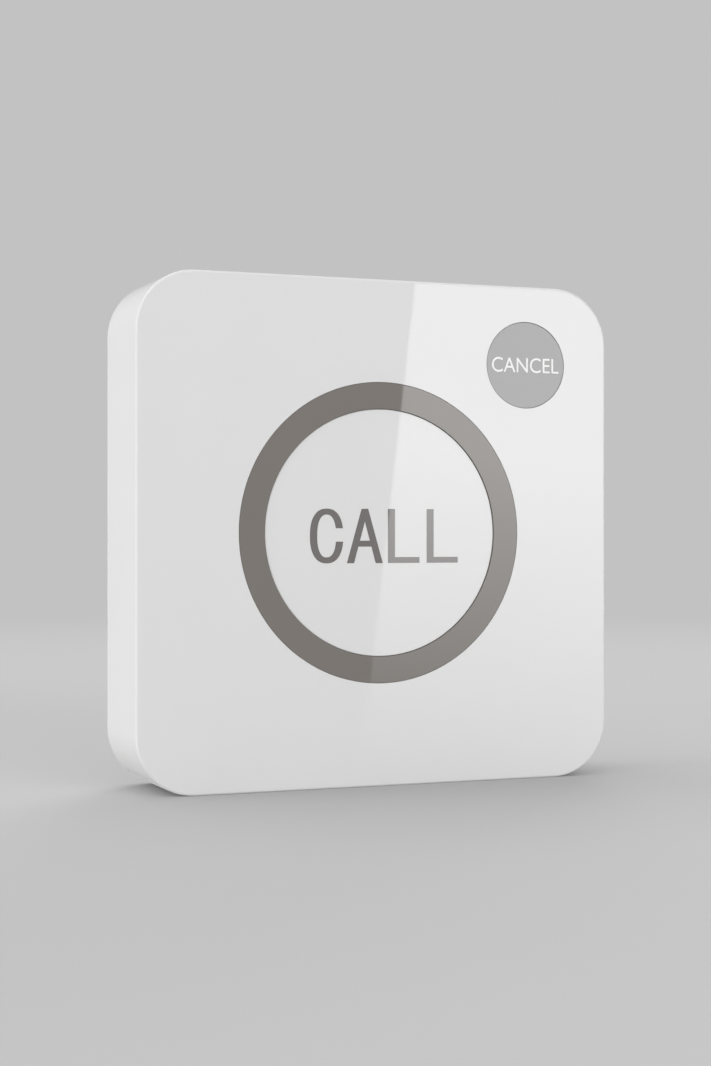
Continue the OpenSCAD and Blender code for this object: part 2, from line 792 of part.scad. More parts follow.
module rear_cover() {
    play = 4;
    slot_side = hook_w / 2 + 2 * loose_gap;
    slot_down = lift_travel + 2 * loose_gap;
    slot_up = hook_stem + fit_gap;
    color(back_white) upright() difference() {
        union() {
            slab(cover_w, cover_w, cover_corner_r, cover_z0, cover_z1);
            at_cover_spots() rod(well_r, cover_z0 + fuse, well_z + well_floor);
        }
        at_cover_spots() rod(cover_head_r + loose_gap, cover_z0 - fuse, well_z);
        at_cover_spots() rod(cover_screw_d / 2 + loose_gap, cover_z0, well_z + well_floor + fuse);
        rod(battery_hole_r, cover_z0 - fuse, cover_z1 + fuse);
        rotate([0, 0, -battery_turn])
            lug_ring(lug_r + loose_gap, lug_angle + play, cover_z0 - fuse, cover_z1 + fuse);
        for (spot = hook_spots) translate([spot[0] - slot_side, spot[1] - slot_down, cover_z0 - fuse])
            cube([2 * slot_side, slot_down + slot_up, cover_t + 2 * fuse]);
    }
}

module cover_gasket() {
    out_w = inner_w - 2 * loose_gap;
    out_r = inner_r - loose_gap;
    hole_w = out_w - 2 * gasket_w;
    color(silicone) upright() difference() {
        slab(out_w, out_w, out_r, cover_z1, ledge_z0);
        slab(hole_w, hole_w, out_r - gasket_w, cover_z1 - fuse, ledge_z0 + fuse);
    }
}

module cover_screws() {
    color(steel) upright() at_cover_spots() screw(cover_screw_d, cover_screw_l, well_z);
}

module battery_cap() {
    face_z0 = cover_z0 + fit_gap - sink;
    face_z1 = cell_z0 - fit_gap;
    groove_h = oring_cord + fit_gap;
    groove_r = battery_cap_r - oring_cord;
    color(back_white) upright() {
        difference() {
            rod(battery_cap_r, face_z0, lug_z1);
            rod(cell_r + loose_gap, face_z1, lug_z1 + fuse);
            translate([-coin_slot_l / 2, -coin_slot_w / 2, face_z0 - fuse])
                cube([coin_slot_l, coin_slot_w, coin_slot_deep + fuse]);
            tube(battery_cap_r + fuse, groove_r, oring_z - groove_h / 2, oring_z + groove_h / 2);
        }
        difference() {
            lug_ring(lug_r, lug_angle, lug_z0, lug_z1);
            rod(battery_cap_r - battery_cap_wall / 2, lug_z0 - fuse, lug_z1 + fuse);
        }
    }
}

module battery_seal() {
    color(black) upright() translate([0, 0, oring_z])
        rotate_extrude() translate([oring_r, 0]) circle(oring_cord / 2);
}

// One hook: a stem out of the plate and a lip that points up
module hook() {
    translate([-hook_w / 2, 0, plate_t - fuse]) cube([hook_w, hook_stem, hook_z1 - plate_t + fuse]);
    translate([-hook_w / 2, 0, hook_z0]) cube([hook_w, hook_stem + hook_lip, hook_lip_t]);
}

module tape_shape(grow, z0, z1) {
    for (side = [-1, 1]) translate([0, side * tape_y, 0])
        slab(tape_l + 2 * grow, tape_w + 2 * grow, tape_w / 4, z0, z1);
}

module wall_plate() {
    sink = (wall_head_d - wall_screw_d) / 2;
    color(back_white) upright() difference() {
        union() {
            slab(plate_w, plate_h, plate_corner_r, 0, plate_t);
            for (spot = hook_spots) translate([spot[0], spot[1], 0]) hook();
        }
        rod(window_d / 2, -fuse, plate_t + fuse);
        for (side = [-1, 1]) translate([side * wall_screw_spacing / 2, 0, 0]) {
            rod(wall_screw_d / 2, -fuse, plate_t + fuse);
            translate([0, 0, plate_t - sink])
                cylinder(r1 = wall_screw_d / 2, r2 = wall_head_d / 2 + fuse, h = sink + fuse);
        }
        tape_shape(loose_gap, -fuse, tape_t);
    }
}

module tape_pads() {
    color(silicone) upright() tape_shape(0, 0, tape_t);
}

front_shell();
light_ring();
call_cap();
call_springs();
ring_retainer();
retainer_screws();
cancel_cap();
circuit_board();
board_screws();
call_switch();
call_plunger();
cancel_switch();
cancel_plunger();
ring_leds();
microcontroller();
radio_chip();
crystal();
antenna_coil();
chip_parts();
cell_holder();
cell_contact();
side_contact();
coin_cell();
rear_cover();
cover_gasket();
cover_screws();
battery_cap();
battery_seal();
wall_plate();
tape_pads();
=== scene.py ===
import math

import bmesh
import bpy
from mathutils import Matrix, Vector


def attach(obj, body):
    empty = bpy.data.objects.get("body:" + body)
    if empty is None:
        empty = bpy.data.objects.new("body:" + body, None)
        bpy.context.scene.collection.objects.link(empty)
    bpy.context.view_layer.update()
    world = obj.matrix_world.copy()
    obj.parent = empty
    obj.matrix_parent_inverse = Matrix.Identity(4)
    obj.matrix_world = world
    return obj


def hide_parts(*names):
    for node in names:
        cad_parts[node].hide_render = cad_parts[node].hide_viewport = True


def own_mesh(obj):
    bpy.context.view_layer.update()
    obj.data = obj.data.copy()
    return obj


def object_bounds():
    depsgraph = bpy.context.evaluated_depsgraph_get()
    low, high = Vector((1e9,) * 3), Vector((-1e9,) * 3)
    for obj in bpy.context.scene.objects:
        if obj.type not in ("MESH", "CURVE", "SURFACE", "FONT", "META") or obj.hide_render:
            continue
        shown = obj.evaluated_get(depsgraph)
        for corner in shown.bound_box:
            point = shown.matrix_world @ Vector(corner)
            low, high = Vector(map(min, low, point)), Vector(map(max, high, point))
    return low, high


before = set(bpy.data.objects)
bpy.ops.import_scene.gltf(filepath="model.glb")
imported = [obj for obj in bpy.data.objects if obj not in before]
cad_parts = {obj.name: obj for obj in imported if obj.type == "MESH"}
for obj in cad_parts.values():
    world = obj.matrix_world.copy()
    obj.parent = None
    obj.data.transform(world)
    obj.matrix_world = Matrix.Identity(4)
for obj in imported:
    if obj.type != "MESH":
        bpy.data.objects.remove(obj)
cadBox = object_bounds()
mm = 0.001
weld = 0.001 * mm  # points closer than this are one point
facing = 0.9  # least share of a normal that counts as facing a way
flat = math.radians(0.5)  # faces that meet at less than this are one flat face
sharpCorner = math.radians(50)  # edges that turn more than this are broken
overlap = 0.3  # mm that a joined shape reaches into the other
print("frame loaded")


# Small tools for modelling

def deselect():
    if bpy.context.mode != "OBJECT":
        bpy.ops.object.mode_set(mode="OBJECT")
    bpy.ops.object.select_all(action="DESELECT")


def takeName(name):
    piece = bpy.context.active_object
    piece.name = name
    piece.data.name = name
    return piece


def pick(piece):  # makes one piece active and the only one selected
    deselect()
    piece.select_set(True)
    bpy.context.view_layer.objects.active = piece


def settle(piece):  # moves place, turn and scale into the mesh
    pick(piece)
    bpy.ops.object.transform_apply(location=True, rotation=True, scale=True)


def choose(piece, mode, test):  # selects by place or normal, in edit mode
    bpy.ops.mesh.select_mode(type=mode)
    bpy.ops.mesh.select_all(action="DESELECT")
    mesh = bmesh.from_edit_mesh(piece.data)
    parts = {"VERT": mesh.verts, "EDGE": mesh.edges, "FACE": mesh.faces}[mode]
    for part in parts:
        part.select_set(bool(test(part)))
    mesh.select_flush_mode()
    bmesh.update_edit_mesh(piece.data)


def joined(pieces):  # the last piece takes in the others
    deselect()
    for piece in pieces:
        piece.select_set(True)
    bpy.context.view_layer.objects.active = pieces[-1]
    if len(pieces) > 1:
        bpy.ops.object.join()
    return pieces[-1]


def modify(piece, kind, **settings):  # adds a modifier and applies it
    pick(piece)
    modifier = piece.modifiers.new(kind.title(), kind)
    for name, value in settings.items():
        setattr(modifier, name, value)
    bpy.ops.object.modifier_apply(modifier=modifier.name)


def smooth(piece, degrees=35):
    pick(piece)
    bpy.ops.object.shade_smooth_by_angle(angle=math.radians(degrees))
    modify(piece, "WEIGHTED_NORMAL", keep_sharp=True, weight=100)


def around(circle, angles):  # spots on a circle; sizes in mm, angles in degrees
    return [(circle * math.cos(math.radians(a)), circle * math.sin(math.radians(a))) for a in angles]


def arc(radius, out, rounding, steps=6):  # rounded front edge of a turned outline
    turns = [math.pi / 2 * i / steps for i in range(steps + 1)]
    inner, foot = radius - rounding, out - rounding
    return [(inner + rounding * math.sin(t), foot + rounding * math.cos(t)) for t in turns]


def drawn(name, points):  # a line through the points, left in edit mode with all of it selected
    deselect()
    bpy.ops.mesh.primitive_plane_add(size=mm, location=points[0])
    piece = takeName(name)
    settle(piece)
    bpy.ops.object.mode_set(mode="EDIT")
    choose(piece, "VERT", lambda v: True)
    bpy.ops.mesh.merge(type="CENTER")
    for here, there in zip(points, points[1:]):
        bpy.ops.mesh.extrude_vertices_move(TRANSFORM_OT_translate={"value": there - here})
    bpy.ops.mesh.select_all(action="SELECT")
    return piece


def turned(name, outline, centre=(0, 0), steps=192):  # outline in mm: radius, distance out of the wall
    piece = drawn(name, [Vector((centre[0] + radius, -out, centre[1])) * mm for radius, out in outline])
    axle = Vector((centre[0], 0, centre[1])) * mm
    bpy.ops.mesh.spin(steps=steps, angle=2 * math.pi, center=axle, axis=(0, 1, 0))
    bpy.ops.mesh.select_all(action="SELECT")
    bpy.ops.mesh.remove_doubles(threshold=weld)
    bpy.ops.mesh.normals_make_consistent(inside=False)
    bpy.ops.object.mode_set(mode="OBJECT")
    return piece


def rods(spots, radius, near, far, vertices=32):  # round bars out of the wall, joined; sizes in mm
    bars = []
    for x, z in spots:
        deselect()
        bpy.ops.mesh.primitive_cylinder_add(vertices=vertices, radius=radius * mm, depth=(far - near) * mm,
                                            location=Vector((x, -(near + far) / 2, z)) * mm,
                                            rotation=(math.pi / 2, 0, 0))
        bars.append(takeName("rods"))
    piece = joined(bars)
    settle(piece)
    return piece


def roundedSlab(name, width, corner, near, far, steps):  # square plate with round corners; sizes in mm
    deselect()
    bpy.ops.mesh.primitive_cube_add(size=1, location=(0, -(near + far) / 2 * mm, 0),
                                    scale=(width * mm, (far - near) * mm, width * mm))
    piece = takeName(name)
    settle(piece)
    bpy.ops.object.mode_set(mode="EDIT")
    choose(piece, "EDGE", lambda e: abs((e.verts[0].co - e.verts[1].co).y) > weld)
    bpy.ops.mesh.bevel(offset=corner * mm, segments=steps, affect="EDGES")
    bpy.ops.object.mode_set(mode="OBJECT")
    return piece


def combine(piece, other, operation):
    modify(piece, "BOOLEAN", operation=operation, object=other, solver="EXACT")
    bpy.data.objects.remove(other)


def dropSlivers(piece):  # removes the zero-width faces that a cut can leave
    pick(piece)
    bpy.ops.object.mode_set(mode="EDIT")
    bpy.ops.mesh.select_all(action="SELECT")
    bpy.ops.mesh.remove_doubles(threshold=weld)
    bpy.ops.mesh.dissolve_degenerate(threshold=weld)
    bpy.ops.object.mode_set(mode="OBJECT")


def finished(piece, body, slot, material, *nodes):
    piece.data.materials.clear()
    piece.data.materials.append(material)
    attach(piece, body)
    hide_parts(*nodes)
    return piece


# Materials

def linear(hexText):
    channels = [int(hexText[i:i + 2], 16) / 255 for i in (1, 3, 5)]
    return [c / 12.92 if c <= 0.04045 else ((c + 0.055) / 1.055) ** 2.4 for c in channels] + [1]


def addNode(material, kind, settings, sockets):  # values are set, other nodes' outputs are linked
    node = material.node_tree.nodes.new(kind)
    for name, value in settings.items():
        setattr(node, name, value)
    for name, value in sockets.items():
        if isinstance(value, bpy.types.NodeSocket):
            material.node_tree.links.new(value, node.inputs[name])
        else:
            node.inputs[name].default_value = value
    return node


cloudSize = 20  # mm over which a moulding's colour and gloss drift
glossDrift = 0.15  # share by which a moulding's roughness drifts
streakDrift = 0.3  # the same for a metal


def moulded(name, colour, roughness, grain, depth, shade=0.03, settings=None):
    # moulded plastic: faint colour clouds, gloss that drifts, and the tool's grain as bump
    material = bpy.data.materials.new(name)
    material.use_nodes = True
    shader = material.node_tree.nodes["Principled BSDF"]
    place = addNode(material, "ShaderNodeTexCoord", {}, {}).outputs["Object"]
    cloud = addNode(material, "ShaderNodeTexNoise", {},
                    {"Vector": place, "Scale": 1 / (cloudSize * mm), "Detail": 3})
    base = linear(colour)
    dark = [c * (1 - shade) for c in base[:3]] + [1]
    tint = addNode(material, "ShaderNodeMix", {"data_type": "RGBA"},
                   {"Factor": cloud.outputs["Fac"], 6: dark, 7: base})
    drift = addNode(material, "ShaderNodeMapRange", {},
                    {"Value": cloud.outputs["Fac"], "To Min": roughness * (1 - glossDrift),
                     "To Max": roughness * (1 + glossDrift)})
    skin = addNode(material, "ShaderNodeTexNoise", {},
                   {"Vector": place, "Scale": 1 / (grain * mm), "Detail": 2})
    bump = addNode(material, "ShaderNodeBump", {},
                   {"Height": skin.outputs["Fac"], "Strength": 1, "Distance": depth * mm})
    for socket, value in {"Base Color": tint.outputs[2], "Roughness": drift.outputs["Result"],
                          "Normal": bump.outputs["Normal"]}.items():
        material.node_tree.links.new(value, shader.inputs[socket])
    for socket, value in (settings or {}).items():
        shader.inputs[socket].default_value = value
    return material


def metal(name, colour, roughness, scratch):
    # drawn or stamped metal: fine streaks that spread the gloss a little
    material = bpy.data.materials.new(name)
    material.use_nodes = True
    shader = material.node_tree.nodes["Principled BSDF"]
    place = addNode(material, "ShaderNodeTexCoord", {}, {}).outputs["Object"]
    streaks = addNode(material, "ShaderNodeTexNoise", {},
                      {"Vector": place, "Scale": 1 / (scratch * mm), "Detail": 4})
    spread = addNode(material, "ShaderNodeMapRange", {},
                     {"Value": streaks.outputs["Fac"], "To Min": roughness * (1 - streakDrift),
                      "To Max": roughness * (1 + streakDrift)})
    material.node_tree.links.new(spread.outputs["Result"], shader.inputs["Roughness"])
    shader.inputs["Base Color"].default_value = linear(colour)
    shader.inputs["Metallic"].default_value = 1
    return material


# Polished mouldings: a sharp reflection over a very slight waviness
polishedAbs = moulded("polished white ABS", "#dedede", 0.02, 6, 0.0002)
tintedPc = moulded("tinted polycarbonate", "#77726d", 0.02, 6, 0.0002, settings={"IOR": 1.59})
greyPc = moulded("polished grey polycarbonate", "#919191", 0.02, 6, 0.0002, settings={"IOR": 1.59})

# Matt mouldings: soft light with a fine grain; the real grain of the satin one is 0.1 mm, drawn coarser
satinAbs = moulded("spark eroded ABS", "#d8d8d8", 0.45, 0.6, 0.08)
blackLcp = moulded("black switch plastic", "#242424", 0.5, 0.4, 0.01)
whiteNylon = moulded("white nylon", "#dcdad2", 0.4, 0.8, 0.01)
solderMask = moulded("green solder mask", "#24573a", 0.3, 0.5, 0.01)
lampLens = moulded("LED resin", "#efe9cf", 0.2, 0.8, 0.005)
greySilicone = moulded("grey silicone", "#8f9597", 0.6, 0.4, 0.01)
blackRubber = moulded("nitrile rubber", "#1f1f1f", 0.55, 0.4, 0.01)
foamTape = moulded("closed-cell foam tape", "#bcbcb4", 0.85, 0.5, 0.12, 0.12)

# Printed films: as glossy as the cap under them, the taupe one with a stronger reflection
taupeInk = moulded("taupe pad print", "#6d6968", 0.02, 6, 0.0002, settings={"IOR": 1.75})
whiteInk = moulded("white pad print", "#e8e8e8", 0.02, 6, 0.0002)

# Metals: bright, with a reflection that fine streaks blur
zincSteel = metal("zinc plated steel", "#b9b9b5", 0.32, 0.3)
springSteel = metal("spring steel", "#a2a2a0", 0.28, 0.2)
goldPlate = metal("gold plated bronze", "#c9a65a", 0.25, 0.3)
copperWire = metal("enamelled copper", "#b8703f", 0.3, 0.3)
print("materials made")

# Inner pieces keep their CAD shape
innerFinish = {
    "ring_retainer": whiteNylon, "retainer_screws": zincSteel, "circuit_board": solderMask,
    "board_screws": zincSteel, "call_switch": blackLcp, "call_plunger": whiteNylon,
    "cancel_switch": blackLcp, "cancel_plunger": whiteNylon, "ring_leds": lampLens,
    "microcontroller": blackLcp, "radio_chip": blackLcp, "crystal": zincSteel,
    "antenna_coil": copperWire, "chip_parts": whiteNylon, "cell_holder": blackLcp,
    "cell_contact": goldPlate, "side_contact": goldPlate, "coin_cell": zincSteel,
    "cover_gasket": greySilicone, "battery_seal": blackRubber,
}
for node, material in innerFinish.items():
    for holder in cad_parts[node].material_slots:
        holder.material = material

# Front shell: a rounded tray, open at the back, with two round holes, and its ledge, bosses and posts inside
shell = {"width": 86, "front": 19, "rim": 0.5, "corner": 10, "cornerSteps": 24, "edge": 0.4, "edgeSteps": 6,
         "rimEdge": 0.2, "wall": 2, "ringHole": 25.55, "cancelHole": 7.55, "cancelAt": (27.2, 29.3),
         "ringSides": 192, "cancelSides": 128, "holeEdge": 0.04, "holeBack": 0.5, "nearHole": 0.02,
         "cutPast": 1, "sharp": 1, "ledge": (5.4, 7.0), "ledgeWidth": 1.4, "ledgeSunk": 0.2, "ledgeSteps": 12,
         "postSides": 48}
inside = {
    "coverBosses": {"spots": [(-34.5, 34.5), (-34.5, -34.5), (34.5, -34.5), (34.5, 14)], "radius": 3,
                    "foot": 5.65, "bore": 1.25, "boreEnd": 12.6},
    "boardPosts": {"spots": [(35.5, 0), (0, 35.5), (-35.5, 0), (0, -35.5)], "radius": 2.3, "foot": 11.6,
                   "bore": 1.0, "boreEnd": 14.8},
    "retainerPosts": {"spots": around(30.5, (15, 135, 255)), "radius": 2, "foot": 15.4,
                      "bore": 1.0, "boreEnd": 17.7},
    "cancelGuide": {"spots": [shell["cancelAt"]], "radius": 9.15, "foot": 15.5,
                    "bore": 7.65, "boreEnd": 17.2},
}


def frontShell():
    front, rim, under = shell["front"], shell["rim"], shell["front"] - shell["wall"]
    piece = roundedSlab("frontShell", shell["width"], shell["corner"], rim, front, shell["cornerSteps"])
    bpy.ops.object.mode_set(mode="EDIT")
    choose(piece, "FACE", lambda f: f.normal.y > facing)
    bpy.ops.mesh.delete(type="FACE")
    modify(piece, "SOLIDIFY", thickness=shell["wall"] * mm, offset=-1, use_even_offset=True)
    bpy.ops.object.mode_set(mode="EDIT")
    for level, offset, steps in ((front, shell["edge"], shell["edgeSteps"]), (rim, shell["rimEdge"], 2)):
        choose(piece, "EDGE", lambda e: all(abs(v.co.y + level * mm) < weld for v in e.verts) and
               e.calc_face_angle(0) > shell["sharp"])
        bpy.ops.mesh.bevel(offset=offset * mm, segments=steps, affect="EDGES")
    bpy.ops.object.mode_set(mode="OBJECT")
    room = shell["width"] - 2 * shell["wall"]
    turn = shell["corner"] - shell["wall"]
    ledge = roundedSlab("ledge", room + 2 * shell["ledgeSunk"], turn + shell["ledgeSunk"], *shell["ledge"],
                        shell["ledgeSteps"])
    window = roundedSlab("window", room - 2 * shell["ledgeWidth"], turn - shell["ledgeWidth"], rim, under,
                         shell["ledgeSteps"])
    combine(ledge, window, "DIFFERENCE")
    combine(piece, ledge, "UNION")
    for post in inside.values():
        bars = rods(post["spots"], post["radius"], post["foot"], under + overlap, shell["postSides"])
        combine(piece, bars, "UNION")
    for post in inside.values():
        start = post["foot"] - shell["cutPast"]
        bars = rods(post["spots"], post["bore"], start, post["boreEnd"], shell["postSides"])
        combine(piece, bars, "DIFFERENCE")
    holes = [((0, 0), shell["ringHole"], shell["ringSides"]),
             (shell["cancelAt"], shell["cancelHole"], shell["cancelSides"])]
    for centre, radius, vertices in holes:
        drill = rods([centre], radius, under - shell["holeBack"], front + shell["cutPast"], vertices)
        combine(piece, drill, "DIFFERENCE")
    pick(piece)
    bpy.ops.object.mode_set(mode="EDIT")
    for centre, radius, vertices in holes:
        def onHole(v):
            away = math.hypot(v.co.x / mm - centre[0], v.co.z / mm - centre[1])
            return abs(v.co.y + front * mm) < weld and abs(away - radius) < shell["nearHole"]
        choose(piece, "EDGE", lambda e: all(onHole(v) for v in e.verts))
        bpy.ops.mesh.bevel(offset=shell["holeEdge"] * mm, segments=2, affect="EDGES")
    bpy.ops.object.mode_set(mode="OBJECT")
    smooth(piece)
    return piece


finished(frontShell(), "unit", "white_gloss", polishedAbs, "front_shell")
print("front shell done")

# Light ring: flush with the face, with its flange and sleeve behind
ring = {"outer": 25.5, "bore": 21, "edge": 0.05, "flange": 28, "flangeBack": 15.4, "sleeve": 24,
        "counterbore": 22.4, "shoulder": 14.85, "foot": 12.25, "wallBack": 17}


def lightRing():
    front = shell["front"]
    outline = [(ring["bore"], ring["shoulder"]), (ring["bore"], front - ring["edge"])]
    outline += [(ring["bore"] + ring["edge"], front)]
    outline += arc(ring["outer"], front, ring["edge"], 3)
    outline += [(ring["outer"], ring["wallBack"]), (ring["flange"], ring["wallBack"])]
    outline += [(ring["flange"], ring["flangeBack"]), (ring["sleeve"], ring["flangeBack"])]
    outline += [(ring["sleeve"], ring["foot"]), (ring["counterbore"], ring["foot"])]
    outline += [(ring["counterbore"], ring["shoulder"]), (ring["bore"], ring["shoulder"])]
    piece = turned("lightRing", outline)
    smooth(piece)
    return piece


finished(lightRing(), "unit", "taupe_gloss", tintedPc, "light_ring")
print("light ring done")

# Call and cancel caps: flat discs with a rounded edge, a skirt and a flange that keeps them in
springAt = around(14, (90, 210, 330))
callCap = {"radius": 20.95, "top": 18.8, "edge": 0.12, "under": 16.6, "foot": 13.6, "flange": 22.25,
           "flangeTop": 14.8, "skirt": 19.15, "boss": 3.5, "bossFoot": 15.95,
           "pins": springAt, "pin": 1.4, "pinFoot": 15.1}
cancelCap = {"radius": 7.51, "top": 18.9, "edge": 0.08, "under": 17.1, "foot": 14.25, "flange": 8.6,
             "flangeTop": 15.45, "skirt": 5.9, "boss": 1.75, "bossFoot": 14.95, "pins": []}


def buttonCap(name, cap, centre):
    outline = [(0, cap["top"])] + arc(cap["radius"], cap["top"], cap["edge"])
    outline += [(cap["radius"], cap["flangeTop"]), (cap["flange"], cap["flangeTop"])]
    outline += [(cap["flange"], cap["foot"]), (cap["skirt"], cap["foot"]), (cap["skirt"], cap["under"])]
    outline += [(cap["boss"], cap["under"]), (cap["boss"], cap["bossFoot"]), (0, cap["bossFoot"])]
    piece = turned(name, outline, centre)
    if cap["pins"]:
        combine(piece, rods(cap["pins"], cap["pin"], cap["pinFoot"], cap["under"] + overlap), "UNION")
        dropSlivers(piece)
    smooth(piece)
    return piece


finished(buttonCap("callCap", callCap, (0, 0)), "call_button", "white_gloss", polishedAbs, "call_cap")
finished(buttonCap("cancelCap", cancelCap, shell["cancelAt"]), "cancel_button", "grey_gloss", greyPc,
         "cancel_cap")
print("button caps done")

# Words that say what the buttons do, printed on the caps as a thin film; each letter has its left edge,
# and the heights in it count from its foot, apart from the C's arms, which end above and below its middle
callWord = {"letters": (("C", -13), ("A", -6.35), ("L", 1.15), ("L", 8.35)), "foot": -5.15, "height": 9.2,
            "stem": 1.3, "bar": 1, "widths": {"C": 6, "A": 6.55, "L": 5.85}, "arms": (1.3, 0.95),
            "bend": 0.85, "ovalSteps": 48, "peak": 1.2, "crossbar": 2.8, "notch": 7.05}
cancelWord = {"text": "CANCEL", "height": 2.6, "width": 13.0, "centre": shell["cancelAt"], "curveSteps": 8}
film = 0.02  # mm; the print is twice as thick as this, with a quarter of it in the cap


def letterC(word):  # an oval band a little squarer than an ellipse, open on the right between its arms
    half, middle, bend, steps = word["widths"]["C"] / 2, word["height"] / 2, word["bend"], word["ovalSteps"]

    def bent(share):
        return math.copysign(abs(share) ** bend, share)

    def oval(across, up):
        first, last = [math.asin((reach / up) ** (1 / bend)) for reach in word["arms"]]
        turns = [first + (2 * math.pi - last - first) * i / steps for i in range(steps + 1)]
        return [(half + across * bent(math.cos(t)), middle + up * bent(math.sin(t))) for t in turns]
    return [oval(half, middle) + oval(half - word["stem"], middle - word["bar"])[::-1]]


def letterA(word):  # two halves that meet on the middle line
    middle, height, notch = word["widths"]["A"] / 2, word["height"], word["notch"]
    low, high = word["crossbar"], word["crossbar"] + word["bar"]
    slope = (middle - word["stem"]) / notch
    half = [(middle, height), (middle - word["peak"] / 2, height), (0, 0), (word["stem"], 0)]
    half += [(word["stem"] + slope * low, low), (middle, low), (middle, high)]
    half += [(word["stem"] + slope * high, high), (middle, notch)]
    return [half, [(2 * middle - x, y) for x, y in half]]


def letterL(word):  # a stem with a bar at its foot
    width, height, stem, bar = word["widths"]["L"], word["height"], word["stem"], word["bar"]
    return [[(0, 0), (width, 0), (width, bar), (stem, bar), (stem, height), (0, height)]]


def drawnWord(name, word, top):
    shapes = {"C": letterC, "A": letterA, "L": letterL}
    faces = []
    for letter, left in word["letters"]:
        for outline in shapes[letter](word):
            points = [Vector((left + x, -(top + film / 2), word["foot"] + y)) * mm for x, y in outline]
            faces.append(drawn(name, points + points[:1]))
            bpy.ops.mesh.remove_doubles(threshold=weld)
            bpy.ops.mesh.edge_face_add()
    joined(faces)
    piece = takeName(name)
    bpy.ops.object.mode_set(mode="EDIT")
    bpy.ops.mesh.select_all(action="SELECT")
    bpy.ops.mesh.remove_doubles(threshold=weld)
    bpy.ops.mesh.normals_make_consistent(inside=False)
    modify(piece, "SOLIDIFY", thickness=2 * film * mm, offset=0)
    return piece


def printedWord(name, word, top):
    deselect()
    bpy.ops.object.text_add()
    piece = takeName(name)
    piece.data.body = word["text"]
    piece.data.resolution_u = word["curveSteps"]
    bpy.ops.object.convert(target="MESH")
    piece = bpy.context.active_object
    bpy.ops.object.origin_set(type="ORIGIN_GEOMETRY", center="BOUNDS")
    piece.scale = (word["width"] * mm / piece.dimensions.x, word["height"] * mm / piece.dimensions.y, 1)
    piece.rotation_euler = (math.pi / 2, 0, 0)
    piece.location = (word["centre"][0] * mm, -(top + film / 2) * mm, word["centre"][1] * mm)
    settle(piece)
    modify(piece, "SOLIDIFY", thickness=2 * film * mm, offset=0)
    return piece


finished(drawnWord("callWord", callWord, callCap["top"]), "call_button", "taupe_gloss", taupeInk)
finished(printedWord("cancelWord", cancelWord, cancelCap["top"]), "cancel_button", "white_gloss", whiteInk)
print("words printed")

# Return springs: a coil at each of three spots round the call switch
spring = {"wire": 0.2, "coil": 1.8, "foot": 11.85, "top": 16.35, "turns": 4, "wireSides": 8, "steps": 20}


def returnSpring(name, spot):
    deselect()
    bpy.ops.mesh.primitive_circle_add(vertices=spring["wireSides"], radius=spring["wire"] * mm,
                                      location=(spring["coil"] * mm, 0, 0), rotation=(math.pi / 2, 0, 0))
    piece = takeName(name)
    settle(piece)
    modify(piece, "SCREW", axis="Z", steps=spring["steps"], render_steps=spring["steps"],
           iterations=spring["turns"],
           screw_offset=(spring["top"] - spring["foot"]) / spring["turns"] * mm, use_merge_vertices=False)
    piece.rotation_euler = (math.pi / 2, 0, 0)
    piece.location = Vector((spot[0], -spring["foot"], spot[1])) * mm
    settle(piece)
    bpy.ops.object.mode_set(mode="EDIT")
    bpy.ops.mesh.select_all(action="SELECT")
    bpy.ops.mesh.fill_holes(sides=0)
    bpy.ops.mesh.normals_make_consistent(inside=False)
    bpy.ops.object.mode_set(mode="OBJECT")
    smooth(piece, 60)
    return piece


for index, spot in enumerate(springAt):
    coil = finished(returnSpring("returnSpring%d" % (index + 1), spot), "unit", "steel", springSteel,
                    *(["call_springs"] if index == 0 else []))
    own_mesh(coil)
print("return springs done")

# Back pieces: the solids' own shapes with their edges broken and flat faces cleaned
backPieces = {
    "rear_cover": {"name": "rearCover", "edge": 0.15, "body": "unit", "slot": "white_satin",
                   "finish": satinAbs},
    "cover_screws": {"name": "coverScrews", "edge": 0.12, "body": "unit", "slot": "steel",
                     "finish": zincSteel},
    "wall_plate": {"name": "wallPlate", "edge": 0.25, "body": "wall_mount", "slot": "white_satin",
                   "finish": satinAbs},
    "tape_pads": {"name": "tapePads", "edge": 0.1, "body": "wall_mount", "slot": "foam_tape",
                  "finish": foamTape},
}


def softened(name, node, edge):
    piece = bpy.data.objects.new(name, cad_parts[node].data.copy())
    bpy.context.scene.collection.objects.link(piece)
    piece.data.name = name
    pick(piece)
    bpy.ops.mesh.customdata_custom_splitnormals_clear()
    bpy.ops.object.mode_set(mode="EDIT")
    choose(piece, "VERT", lambda v: True)
    bpy.ops.mesh.remove_doubles(threshold=weld)
    bpy.ops.mesh.dissolve_limited(angle_limit=flat)
    bpy.ops.mesh.normals_make_consistent(inside=False)
    bpy.ops.object.mode_set(mode="OBJECT")
    modify(piece, "BEVEL", width=edge * mm, segments=2, limit_method="ANGLE", angle_limit=sharpCorner)
    smooth(piece)
    return piece


for node, back in backPieces.items():
    finished(softened(back["name"], node, back["edge"]), back["body"], back["slot"], back["finish"], node)
print("back pieces done")

# Battery cap: a turned cup with a groove for its seal, a coin slot and three lugs
batteryCap = {"radius": 13.85, "face": 2.65, "edge": 0.25, "groove": (3.075, 3.925), "grooveRadius": 13.05,
              "rim": 5.45, "rimEdge": 0.1, "pocket": 12.45, "pocketFloor": 4.65,
              "slot": (16, 2.2), "slotDeep": 0.9, "slotFlare": 0.2,
              "lug": 15.35, "lugInner": 13.15, "lugFoot": 4.45, "lugTurn": 22, "lugSteps": 11,
              "lugsAt": (90, 210, 330)}


